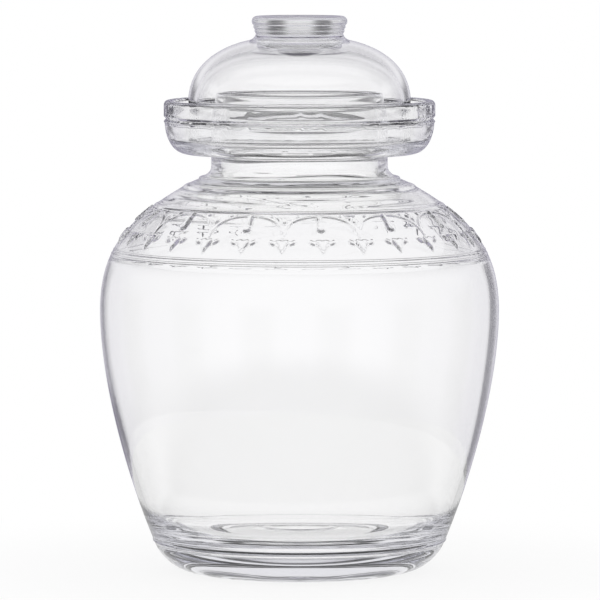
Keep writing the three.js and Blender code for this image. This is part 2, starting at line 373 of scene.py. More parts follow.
@dataclass
class ShoulderBorder:
    """The raised border on the shoulder: round arches on hearts, with a drop and a heart under each arch.

    Distances down the shoulder are measured along its slope from the border's upper ring.
    """

    arches: int = 14
    foot_degrees: float = -5.5
    apex: float = 3.0
    foot: float = 17.6
    arch_power: float = 2.35
    rib_half_width: float = 0.75
    rib_height: float = 0.42
    heart_top: float = 18.7
    heart_tip: float = 27.2
    heart_width: float = 6.4
    heart_height: float = 0.85
    edge: float = 1.0
    edge_outside: float = 0.3
    petal_out: float = 5.0
    petal_down: float = 20.4
    petal_length: float = 2.1
    petal_width: float = 1.1
    petal_degrees: float = 48.0
    petal_height: float = 0.68
    drop_end: float = 14.0
    drop_top_half: float = 1.2
    drop_end_half: float = 1.9
    diamond_down: float = 6.8
    diamond_half: tuple[float, float] = (1.2, 2.0)
    diamond_slope: float = 0.7
    bead_down: float = 3.0
    bead_out: float = 6.4
    bead_radius: float = 0.95

    def raised(self, inside: np.ndarray, height: float) -> np.ndarray:
        """Height of a flat-topped figure: a soft step, as wide as its edge, of the distance inside it."""
        start = -self.edge_outside * self.edge
        return height * smooth_step(start, start + self.edge, inside)

    def heart(self, across: np.ndarray, down: np.ndarray) -> np.ndarray:
        """Distance inside a heart: two round lobes and the wedge between their tangents and the tip."""
        lobe = self.heart_width / 4.0
        side = np.abs(across)
        centre = self.heart_top + lobe
        in_lobe = lobe - np.hypot(side - lobe, down - centre)
        reach = self.heart_tip - centre
        slant = math.hypot(lobe, reach)
        lean = math.atan2(lobe, reach) + math.asin(lobe / slant)
        to_edge = (self.heart_tip - down) * math.sin(lean) - side * math.cos(lean)
        tangent_drop = lobe * math.sin(lean)
        in_wedge = np.minimum(to_edge, down - centre - tangent_drop + lobe)
        return np.maximum(in_lobe, in_wedge)

    def petal(self, across: np.ndarray, down: np.ndarray) -> np.ndarray:
        """Distance inside one of the two leaves beside a heart: an ellipse that leans outwards and up."""
        lean = math.radians(self.petal_degrees)
        x, y = np.abs(across) - self.petal_out, self.petal_down - down
        along = x * math.cos(lean) + y * math.sin(lean)
        over = y * math.cos(lean) - x * math.sin(lean)
        return self.petal_width * (1.0 - np.hypot(along / self.petal_length, over / self.petal_width))

    def drop(self, across: np.ndarray, down: np.ndarray) -> np.ndarray:
        """Distance inside the drop that hangs from an arch: a tongue that widens down to a round end."""
        last = self.drop_end - self.drop_end_half
        share = np.clip((down - self.apex) / (last - self.apex), 0.0, 1.0)
        half = self.drop_top_half + (self.drop_end_half - self.drop_top_half) * share**2
        beyond = np.maximum(np.maximum(down - last, self.apex - down), 0.0)
        return half - np.hypot(across, beyond)

    def rib(self, share: np.ndarray, down: np.ndarray, half_pitch: np.ndarray) -> np.ndarray:
        """Height of the arch's rib: a rounded bar along the superellipse |x|^p + |y|^p = 1 from foot to foot.

        Args:
            share: place across the arch, from -1 at one foot to 1 at the other.
            down: distance below the upper ring.
            half_pitch: distance from the arch's middle to its foot at that height.

        Returns:
            The height of the rib above the shoulder.
        """
        p = self.arch_power
        rise = self.foot - self.apex
        x, y = np.abs(share) + TINY, np.maximum((self.foot - down) / rise, TINY)
        level = (x**p + y**p) ** (1.0 / p)
        slope = np.hypot((x / level) ** (p - 1) / half_pitch, (y / level) ** (p - 1) / rise)
        away = np.abs(level - 1.0) / slope
        bar = np.cos(0.5 * np.pi * np.clip(away / self.rib_half_width, 0.0, 1.0)) ** 2
        return self.rib_height * bar * (down < self.foot + self.rib_half_width)

    def relief(self, degrees: np.ndarray, down: np.ndarray, radius: np.ndarray) -> np.ndarray:
        """Height of the border above the shoulder.

        The figures repeat with each arch: the drop, heart and leaves under its middle, and the heart and
        leaves at its foot with a diamond and two beads over them. Where figures meet, the highest one shows.

        Args:
            degrees: places round the axis, from the front, as a row.
            down: distance of each ring below the upper ring, as a column.
            radius: radius of each ring, as a column.

        Returns:
            Heights as rings by columns.
        """
        pitch = 360.0 / self.arches
        from_foot = (degrees - self.foot_degrees + 0.5 * pitch) % pitch - 0.5 * pitch
        from_middle = (degrees - self.foot_degrees) % pitch - 0.5 * pitch
        to_mm = np.radians(radius)
        heights = [self.rib(from_middle / (0.5 * pitch), down, 0.5 * pitch * to_mm)]
        at_middle, at_foot = from_middle * to_mm, from_foot * to_mm
        for across in (at_middle, at_foot):
            heights.append(self.raised(self.heart(across, down), self.heart_height))
            heights.append(self.raised(self.petal(across, down), self.petal_height))
        heights.append(self.raised(self.drop(at_middle, down), self.heart_height))
        wide, tall = self.diamond_half
        inside = 1.0 - np.abs(at_foot) / wide - np.abs(down - self.diamond_down) / tall
        diamond = self.diamond_slope * wide * inside
        bead = self.bead_radius - np.hypot(np.abs(at_foot) - self.bead_out, down - self.bead_down)
        heights += [self.raised(diamond, self.rib_height), self.raised(bead, self.rib_height)]
        return np.max(np.stack(np.broadcast_arrays(*heights)), axis=0)


@dataclass
class Jar:
    """The jar: thick bottom, blown belly, bordered shoulder, collar, neck and pressed moat in one glass."""

    glass: bpy.types.Material
    border: ShoulderBorder = field(default_factory=ShoulderBorder)
    columns: int = 112
    border_columns: int = 784
    band_columns: int = 336
    foot_radius: float = 51.5
    foot_width: float = 6.5
    push_up: float = 8.0
    push_up_radius: float = 5.6
    push_up_slope: float = -67.0
    heel: tuple[float, float] = (72.9, 14.7)
    heel_slope: float = 67.4
    foot_pull: float = 12.7
    heel_pull: float = 6.5
    seam_height: float = 15.4
    seam_width: float = 1.4
    seam_rise: float = 0.44
    belly_radius: float = 99.7
    belly_rise: float = 116.0
    belly_pull: float = 35.2
    shoulder_rise: float = 63.3
    shoulder_slope: float = 29.2
    shoulder_low_pull: float = 30.5
    shoulder_top_pull: float = 35.2
    wall: float = 3.0
    uneven_wall: float = 1.05
    uneven_low: tuple[float, float] = (45.0, 105.0)
    uneven_top: float = 165.0
    floor: float = 8.4
    floor_radius: float = 55.3
    floor_ring_radius: float = 65.5
    floor_ring_rise: float = 2.8
    floor_ring_slope: float = 33.0
    floor_ring_crease: float = 40.0
    floor_step_pull: float = 2.8
    floor_channel_radius: float = 20.0
    floor_channel_half: float = 2.4
    floor_channel_depth: float = 0.05
    floor_dimple_half: float = 5.0
    floor_dimple_depth: float = 0.5
    floor_wave: float = 0.18
    floor_wave_length: float = 18.5
    floor_wave_radius: float = 14.0
    bottom_depth: float = 33.0
    bottom_wall_pull: float = 11.0
    bottom_floor_pull: float = 1.0
    swirl_depth: float = 0.16
    swirl_start: float = 168.0
    swirl_full_depth: float = 8.0
    swirl_degrees: float = 225.0
    swirl_all_round: float = 0.2
    swirl_patch: float = 1.3
    swirl_patch_focus: float = 2.5
    swirl_waves: tuple[tuple[float, ...], ...] = (
        (1.0, 1.25, 2.0, 0.0),
        (0.7, 0.83, -3.0, 1.0),
        (0.6, 2.1, 5.0, 2.0),
    )
    border_low_depth: float = 33.9
    border_low_width: float = 1.3
    border_low_height: float = 0.3
    border_low_back: float = 0.07
    border_low_apart: float = 2.1
    border_top_depth: float = 10.6
    border_top_width: float = 1.6
    border_top_height: float = 0.35
    step_depth: float = 1.1
    step_width: float = 2.0
    step_height: float = 0.4
    neck_radius: float = 44.0
    neck_wall: float = 4.5
    neck_rise: float = 45.5
    lip_draw: float = 2.2
    lip_taper: float = 14.0
    lip_taper_pull: float = 4.0
    lip_pull: float = 5.0
    lip_lean: float = 8.0
    lip_wall: float = 3.8
    collar_reach: float = 6.2
    collar_round: float = 0.9
    collar_rise: float = 2.4
    collar_start: float = -20.0
    shoulder_ledge: float = 4.7
    neck_fillet: float = 5.0
    neck_inside_pull: float = 9.0
    neck_inside_rise: float = 11.0
    moat_clear: float = 14.7
    moat_floor: float = 6.6
    moat_depth: float = 20.0
    moat_wall: float = 4.4
    moat_taper: float = 1.5
    moat_inside: float = 63.3
    moat_fillet: float = 3.0
    moat_tuck: float = 2.0
    moat_bilge: float = 11.5
    moat_bilge_rise: float = 15.6
    moat_bilge_pull: float = 7.0
    moat_bilge_top_pull: float = 8.0
    moat_bilge_slope: float = 87.0
    bead_rise: float = 1.0
    bead_height: float = 0.35
    band_step: float = 0.4
    groove_depth: float = 1.25
    groove_rise: float = 0.9
    band_rise: float = 1.3
    band_edge: float = 0.25
    band_wave: float = 0.0625
    band_wave_reach: float = 2.0
    band_waves: tuple[tuple[float, ...], ...] = ((1.0, 29, 0.0), (0.9, 47, 1.1), (0.8, 83, 2.3))
    mould_parts: int = 4
    joint_degrees: tuple[float, ...] = (-31.0, -22.6, 0.6, 9.2)
    joint_half_width: float = 1.2
    joint_depth: float = 0.15

    @property
    def shoulder_height(self) -> float:
        """Height of the top of the shoulder."""
        return self.heel[1] + self.belly_rise + self.shoulder_rise

    @property
    def lip_height(self) -> float:
        """Height of the neck's lip."""
        return self.shoulder_height + self.neck_rise

    @property
    def seat_height(self) -> float:
        """Height of the moat's floor, which the lid stands on."""
        return self.shoulder_height + self.moat_clear + self.moat_floor

    def wall_line(self) -> MeasuredLine:
        """Outer line of the belly and the shoulder, from the heel past the widest place up to the collar."""
        widest = (self.belly_radius, self.heel[1] + self.belly_rise)
        top = (self.neck_radius + self.collar_reach + self.shoulder_ledge, self.shoulder_height)
        belly = sweep(self.heel, self.heel_slope, self.belly_pull, widest, 90.0, self.belly_pull, 300)
        shoulder = sweep(widest, 90.0, self.shoulder_low_pull, top, 180.0 - self.shoulder_slope,
                         self.shoulder_top_pull, 300)
        return MeasuredLine(np.concatenate([belly, shoulder[1:]]))

    def bottom(self, outline: Outline) -> None:
        """Adds the push-up, the foot ring and the heel."""
        inner_edge = (self.foot_radius - self.foot_width, 0.0)
        flat_edge = (self.push_up_radius, self.push_up)
        pull = math.dist(inner_edge, flat_edge) / 3.0
        outline.add(straight((0.0, self.push_up), flat_edge, 6))
        outline.add(sweep(flat_edge, 0.0, pull, inner_edge, self.push_up_slope, pull, 12))
        foot_edge = (self.foot_radius, 0.0)
        outline.add(straight(inner_edge, foot_edge, 3))
        outline.add(sweep(foot_edge, 0.0, self.foot_pull, self.heel, self.heel_slope, self.heel_pull, 14))

    def wall_outside(self, outline: Outline) -> None:
        """Adds the belly with the mould's seam, and the shoulder with its four rings and the border.

        Each row below gives the steps and the zone of the stretch up to a ring, and the ring's depth under
        the top of the shoulder, width and height. A ring swells outwards as half a sine wave between its
        edges. The border's two lower rings get their swell later, because it differs round the axis.
        """
        line = self.wall_line()
        half_apart = self.border_low_apart / 2.0
        rings = [
            (1, Zone.PLAIN, self.shoulder_height - self.seam_height, self.seam_width, self.seam_rise),
            (40, Zone.PLAIN, self.border_low_depth + half_apart, self.border_low_width, 0.0),
            (3, Zone.PLAIN, self.border_low_depth - half_apart, self.border_low_width, 0.0),
            (54, Zone.BORDER, self.border_top_depth, self.border_top_width, self.border_top_height),
            (8, Zone.PLAIN, self.step_depth, self.step_width, self.step_height),
        ]
        place = 0.0
        for steps, zone, depth, width, height in rings:
            middle = self.shoulder_height - depth
            low, high = line.at_height(middle - width / 2), line.at_height(middle + width / 2)
            outline.add(line.read(np.linspace(place, low, steps + 1)), zone)
            share = np.linspace(0.0, 1.0, 9)
            swell = line.read(low + (high - low) * share, height * np.sin(np.pi * share))
            outline.add(swell, Zone.PLAIN if height else Zone.LOW_RING)
            place = high
        outline.add(line.read(line.distance[-1:]))

    def collar(self, outline: Outline) -> None:
        """Adds the bead at the foot of the neck and the hollow curve up to the neck."""
        outer = self.neck_radius + self.collar_reach
        bead = (outer - self.collar_round, self.shoulder_height + self.collar_rise)
        top = polar(bead, 90.0, self.collar_round)
        neck_foot = (self.neck_radius, top[1] + self.neck_fillet)
        pull = min(self.neck_fillet, bead[0] - self.neck_radius) / 2.0
        outline.add(arc(bead, self.collar_round, self.collar_start, 90.0, 9))
        outline.add(sweep(top, 180.0, pull, neck_foot, 90.0, pull, 7))

    def moat(self, outline: Outline) -> None:
        """Adds the moat: out under it, up its bilge and its rim band, over the rim and across its floor."""
        under = self.shoulder_height + self.moat_clear
        outside = self.moat_inside + self.moat_wall
        tuck = (self.neck_radius, under - self.moat_tuck)
        underside = (self.neck_radius + self.moat_tuck, under)
        bilge = (outside - self.moat_bilge, under)
        ledge = (outside - self.band_step, under + self.moat_bilge_rise)
        rim_round = self.moat_wall / 2.0
        rim = (outside - rim_round, self.seat_height + self.moat_depth - rim_round)
        fillet, half, seat = self.moat_fillet, self.moat_fillet / 2.0, self.seat_height
        outer, inner = self.moat_inside - self.moat_taper, self.neck_radius
        outline.add(sweep(tuck, 90.0, self.moat_tuck / 2, underside, 0.0, self.moat_tuck / 2, 5))
        outline.add(straight(underside, bilge, 4))
        outline.add(sweep(bilge, 0.0, self.moat_bilge_pull, ledge, self.moat_bilge_slope,
                          self.moat_bilge_top_pull, 14))
        self.rim_band(outline, ledge, (outside, rim[1]))
        outline.add(arc(rim, rim_round, 0.0, 180.0, 12), Zone.BAND)
        outline.add(straight((self.moat_inside, rim[1]), (outer, seat + fillet), 6))
        outline.add(sweep((outer, seat + fillet), -90.0, half, (outer - fillet, seat), 180.0, half, 6))
        outline.add(straight((outer - fillet, seat), (inner + fillet, seat), 5))
        outline.add(sweep((inner + fillet, seat), 180.0, half, (inner, seat + fillet), 90.0, half, 6))

    def rim_band(self, outline: Outline, ledge: tuple, top: tuple) -> None:
        """Adds the band under the moat's rim.

        It starts with a bead, half a sine wave over the ledge. Two straight lines make a groove over the
        bead, and the upper one turns a rounded corner into the band's upright face.

        Args:
            outline: the section that gets it.
            ledge: radius and height of its lower end.
            top: radius and height of its upper end.
        """
        edge = self.band_edge
        share = np.linspace(0.0, 1.0, 8)
        swell = self.bead_height * np.sin(np.pi * share)
        bead = np.stack([ledge[0] + swell, ledge[1] + self.bead_rise * share], axis=1)
        root = (top[0] - self.groove_depth, ledge[1] + self.bead_rise + self.groove_rise)
        slope = math.degrees(math.atan2(self.band_rise, self.groove_depth))
        corner = (top[0], root[1] + self.band_rise)
        before, after = polar(corner, slope, -edge), polar(corner, 90.0, edge)
        outline.add(bead, Zone.BAND)
        outline.add(straight(bead[-1], root, 5), Zone.BAND)
        outline.add(straight(root, before, 5), Zone.BAND)
        outline.add(sweep(before, slope, edge / 2, after, 90.0, edge / 2, 4), Zone.BAND)
        outline.add(straight(after, top, 6), Zone.BAND)

    def neck(self, outline: Outline) -> None:
        """Adds the neck above the moat, its rounded lip, and its inside down to the shoulder."""
        half = self.lip_wall / 2.0
        lip = (self.neck_radius - self.lip_draw - half, self.lip_height - half)
        bend = lip[1] - self.lip_taper
        inside = self.neck_radius - self.neck_wall
        straight_end = (inside, self.shoulder_height + self.neck_inside_rise)
        line = self.wall_line()
        turn_end = line.read(line.distance[-1:], -self.wall)[0]
        outer_edge, inner_edge = (lip[0] + half, lip[1]), (lip[0] - half, lip[1])
        outline.add(sweep((self.neck_radius, bend), 90.0, self.lip_taper_pull, outer_edge,
                          90.0 + self.lip_lean, self.lip_pull, 8))
        outline.add(arc(lip, half, 0.0, 180.0, 14))
        outline.add(sweep(inner_edge, self.lip_lean - 90.0, self.lip_pull, (inside, bend), -90.0,
                          self.lip_taper_pull, 8))
        outline.add(sweep(straight_end, -90.0, self.neck_inside_pull, turn_end, -self.shoulder_slope,
                          self.neck_inside_pull, 10), Zone.INSIDE)

    def inside(self, outline: Outline) -> None:
        """Adds the inner wall, which follows the outer one at the wall's thickness, and the thick bottom."""
        line = self.wall_line()
        thickens, swirls = line.at_height(self.bottom_depth), line.at_height(self.swirl_start)
        outline.add(line.read(np.linspace(line.distance[-1], swirls, 50), -self.wall), Zone.INSIDE)
        outline.add(line.read(np.linspace(swirls, thickens, 36), -self.wall), Zone.INSIDE)
        slope = line.read(np.array([thickens, thickens + 1.0]))
        direction = math.degrees(math.atan2(*(slope[1] - slope[0])[::-1]))
        start = line.read(np.array([thickens]), -self.wall)[0]
        ring = (self.floor_ring_radius, self.push_up + self.floor + self.floor_ring_rise)
        edge = (self.floor_radius, self.push_up + self.floor)
        down = 180.0 + self.floor_ring_slope
        step, crease = self.floor_step_pull, self.floor_ring_crease
        outline.add(sweep(start, direction + 180.0, self.bottom_wall_pull, ring, down,
                          self.bottom_floor_pull, 14))
        outline.add(sweep(ring, down + crease, step, edge, 180.0, step, 10))
        outline.add(self.floor_line())

    def floor_line(self) -> np.ndarray:
        """Section of the inside of the bottom, from its edge to the axis.

        It is level, with a shallow round channel, faint waves inside the channel and a dimple in the middle,
        each a bell curve or a cosine of the radius.
        """
        radius = np.linspace(self.floor_radius, 0.0, 38)
        from_channel = (radius - self.floor_channel_radius) / self.floor_channel_half
        channel = self.floor_channel_depth * np.exp(-from_channel**2)
        dimple = self.floor_dimple_depth * np.exp(-(radius / self.floor_dimple_half) ** 2)
        waves = self.floor_wave * np.cos(2 * np.pi * radius / self.floor_wave_length)
        waves *= smooth_step(self.floor_channel_radius, self.floor_wave_radius, radius)
        return np.stack([radius, self.push_up + self.floor - channel - dimple + waves], axis=1)

    def joints(self, angle: np.ndarray) -> np.ndarray:
        """How deep the joints of the mould cut into the rim band: grooves whose section is a bell curve."""
        turned = np.degrees(angle) - FRONT_DEGREES
        part = 360.0 / self.mould_parts
        outside = self.moat_inside + self.moat_wall
        grooves = np.zeros_like(angle)
        for joint in self.joint_degrees:
            away = np.radians((turned - joint + part / 2) % part - part / 2) * outside
            grooves = grooves + np.exp(-((away / self.joint_half_width) ** 2))
        return self.joint_depth * grooves

    def low_rings(self, height: np.ndarray, angle: np.ndarray) -> np.ndarray:
        """How far the border's two lower rings stand out: half a sine wave each, fainter round the back.

        Args:
            height: height of each ring of the mesh, as a column.
            angle: places round the axis, as a row.

        Returns:
            Offsets as rings by columns.
        """
        line = self.wall_line()
        place = np.interp(height, line.points[:, 1], line.distance)
        swell = np.zeros_like(height)
        for side in (-0.5, 0.5):
            middle = self.shoulder_height - self.border_low_depth + side * self.border_low_apart
            low = line.at_height(middle - self.border_low_width / 2)
            high = line.at_height(middle + self.border_low_width / 2)
            swell = swell + np.sin(np.pi * np.clip((place - low) / (high - low), 0.0, 1.0))
        front = 0.5 + 0.5 * np.cos(angle - math.radians(FRONT_DEGREES))
        return swell * (self.border_low_back + (self.border_low_height - self.border_low_back) * front)

    def swirls(self, along: np.ndarray, height: np.ndarray, angle: np.ndarray) -> np.ndarray:
        """How far the inner wall lies off a true turn under the neck, where the blown glass folded.

        A sum of sine waves that wind slowly round as they go along the wall, each given by its share, its
        length for one radian, its turns round the axis and its start. They grow towards the neck and are
        strongest on one side, by a bell curve round the axis.

        Args:
            along: distance of each ring along the outline, as a column.
            height: height of each ring, as a column.
            angle: places round the axis, as a row.

        Returns:
            Offsets as rings by columns.
        """
        full = self.shoulder_height - self.swirl_full_depth
        from_patch = np.cos(angle - math.radians(self.swirl_degrees)) - 1.0
        patch = self.swirl_all_round + self.swirl_patch * np.exp(self.swirl_patch_focus * from_patch)
        strength = self.swirl_depth * smooth_step(self.swirl_start, full, height) * patch
        waves = sum(
            share * np.sin(along / length + turns * angle + start)
            for share, length, turns, start in self.swirl_waves
        )
        return strength * waves / sum(wave[0] for wave in self.swirl_waves)

    def ledge_waves(self, height: np.ndarray, angle: np.ndarray) -> np.ndarray:
        """How far the foot of the rim band lies off level.

        A sum of sine waves round the axis, each given by its share, its number and its start, within a bell
        curve of the height about the top of the bead.

        Args:
            height: height of each ring, as a column.
            angle: places round the axis, as a row.

        Returns:
            Rises as rings by columns.
        """
        ledge = self.shoulder_height + self.moat_clear + self.moat_bilge_rise + self.bead_rise
        close = np.exp(-(((height - ledge) / self.band_wave_reach) ** 2))
        waves = sum(share * np.sin(number * angle + start) for share, number, start in self.band_waves)
        return self.band_wave * close * waves

    def build(self) -> bpy.types.Object:
        """Makes the jar's glass.

        The rings follow the outline, and those of the border and of the moat's rim band have more columns.

        Returns:
            The piece, riding on the jar and standing for its solid.
        """
        outline = Outline()
        for stage in (self.bottom, self.wall_outside, self.collar, self.moat, self.neck, self.inside):
            stage(outline)
        points, zones = outline.rows()
        normals = right_normals(points)
        along = MeasuredLine(points).distance
        finer = {Zone.BORDER.value: self.border_columns, Zone.BAND.value: self.band_columns}
        counts = np.array([finer.get(zone, self.columns) for zone in zones])
        mesh = TurnedMesh()
        mesh.pole(points[0, 1])
        for run in np.split(np.arange(1, len(points) - 1), np.flatnonzero(np.diff(counts[1:-1])) + 1):
            mesh.band(self.rings(points[run], normals[run], zones[run], along[run], counts[run[0]]))
        mesh.pole(points[-1, 1])
        piece = mesh.piece("jar_glass", self.glass)
        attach(piece, "jar")
        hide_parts("jar")
        return piece

    def rings(self, points: np.ndarray, normals: np.ndarray, zones: np.ndarray, along: np.ndarray,
              columns: int) -> np.ndarray:
        """Rings of the jar with what the glass does in each zone.

        The border carries its relief, the two rings under it their swell, and the rim band of the moat the
        joints of the mould and a wavy foot. The inner wall lies a little off centre, as a blown wall does,
        and swirls under the neck.

        Args:
            points: radius and height of each ring.
            normals: outward normal of each ring in the section.
            zones: zone number of each ring.
            along: distance of each ring along the outline.
            columns: number of places round the axis.

        Returns:
            Places as rings, columns and coordinates.
        """
        angle = 2.0 * np.pi * np.arange(columns)[None, :] / columns
        height = points[:, 1:]
        blown, band, low_ring = (
            (zones == zone.value)[:, None] for zone in (Zone.INSIDE, Zone.BAND, Zone.LOW_RING)
        )
        offset = blown * self.swirls(along[:, None], height, angle) - band * self.joints(angle)
        offset = offset + low_ring * self.low_rings(height, angle)
        if zones[0] == Zone.BORDER.value:
            line = self.wall_line()
            ring = line.at_height(self.shoulder_height - self.border_top_depth)
            down = ring - np.interp(height, line.points[:, 1], line.distance)
            offset = self.border.relief(np.degrees(angle) - FRONT_DEGREES, down, points[:, :1])
        places = turn(points, normals, columns, offset)
        lean = smooth_step(*self.uneven_low, height)
        lean = lean * smooth_step(self.shoulder_height, self.uneven_top, height)
        places[:, :, 0] -= self.uneven_wall * lean * blown
        places[:, :, 2] += band * self.ledge_waves(height, angle)
        return places


@dataclass
class Lid:
    """The lid: skirt, dome and solid knob in one pressed glass."""

    glass: bpy.types.Material
    seat_height: float
    lip_height: float
    columns: int = 180
    seat_gap: float = 0.3
    skirt_inside: float = 51.5
    skirt_wall: float = 4.0
    dome_spring: float = 5.5
    dome_rise: float = 31.2
    dome_slope: float = 12.0
    dome_side_pull: float = 19.0
    dome_top_pull: float = 15.0
    boss: float = 6.2
    boss_pull: float = 12.0
    knob_waist: float = 21.8
    knob_flare: float = 3.2
    knob_foot: float = 3.4
    knob_lip: float = 2.0
    knob_lip_round: float = 2.6
    knob_lip_start: float = -50.0
    knob_rise: float = 12.0
    knob_dish: float = 1.5
    knob_ridges: int = 2
    knob_ridge: float = 0.35

    def outline(self) -> Outline:
        """The lid's section: ceiling, inside of the skirt, rim, dome, knob and the dish in the knob's top."""
        outline = Outline()
        spring = self.lip_height - self.dome_spring
        knob_foot = (self.knob_waist + self.knob_flare, spring + self.dome_rise)
        half = self.skirt_wall / 2.0
        rim = (self.skirt_inside + half, self.seat_height + self.seat_gap + half)
        outside = self.skirt_inside + self.skirt_wall
        waist = (self.knob_waist, knob_foot[1] + self.knob_foot)
        top = knob_foot[1] + self.knob_rise
        lip = (self.knob_waist + self.knob_lip - self.knob_lip_round, top - self.knob_lip_round)
        up_dome = 180.0 - self.dome_slope
        spread = min(self.knob_flare, self.knob_foot) / 2.0
        dome = MeasuredLine(sweep((outside, spring), 90.0, self.dome_side_pull, knob_foot, up_dome,
                                  self.dome_top_pull, 200))
        under = dome.read(np.linspace(dome.distance[-1], 0.0, 36), -self.skirt_wall)
        ceiling = (0.0, knob_foot[1] - self.boss)
        outline.add(sweep(ceiling, 0.0, self.boss_pull, under[0], -self.dome_slope, self.boss_pull, 14))
        outline.add(under)
        outline.add(straight((self.skirt_inside, spring), (self.skirt_inside, rim[1]), 5))
        outline.add(arc(rim, half, -180.0, 0.0, 12))
        outline.add(straight((outside, rim[1]), (outside, spring), 5))
        outline.add(dome.read(np.linspace(0.0, dome.distance[-1], 36)))
        outline.add(sweep(knob_foot, up_dome, spread, waist, 90.0, spread, 9))
        share = np.linspace(0.0, 1.0, 17)[:, None]
        under_lip = polar(lip, self.knob_lip_start, self.knob_lip_round)
        ridged = np.array(waist) + (under_lip - np.array(waist)) * share
        ridged[:, :1] += self.knob_ridge * np.sin(np.pi * self.knob_ridges * share) ** 2
        outline.add(ridged)
        outline.add(arc(lip, self.knob_lip_round, self.knob_lip_start, 90.0, 14))
        outline.add(sweep((lip[0], top), 180.0, self.knob_lip_round, (0.0, top - self.knob_dish), 180.0,
                          lip[0] / 2.0, 16))
        return outline

    def build(self) -> bpy.types.Object:
        """Makes the lid's glass.

        Returns:
            The piece, riding on the lid and standing for its solid.
        """
        points, _ = self.outline().rows()
        mesh = TurnedMesh()
        mesh.pole(points[0, 1])
        mesh.band(turn(points[1:-1], right_normals(points)[1:-1], self.columns))
        mesh.pole(points[-1, 1])
        piece = mesh.piece("lid_glass", self.glass)
        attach(piece, "lid")
        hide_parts("lid")
        return piece


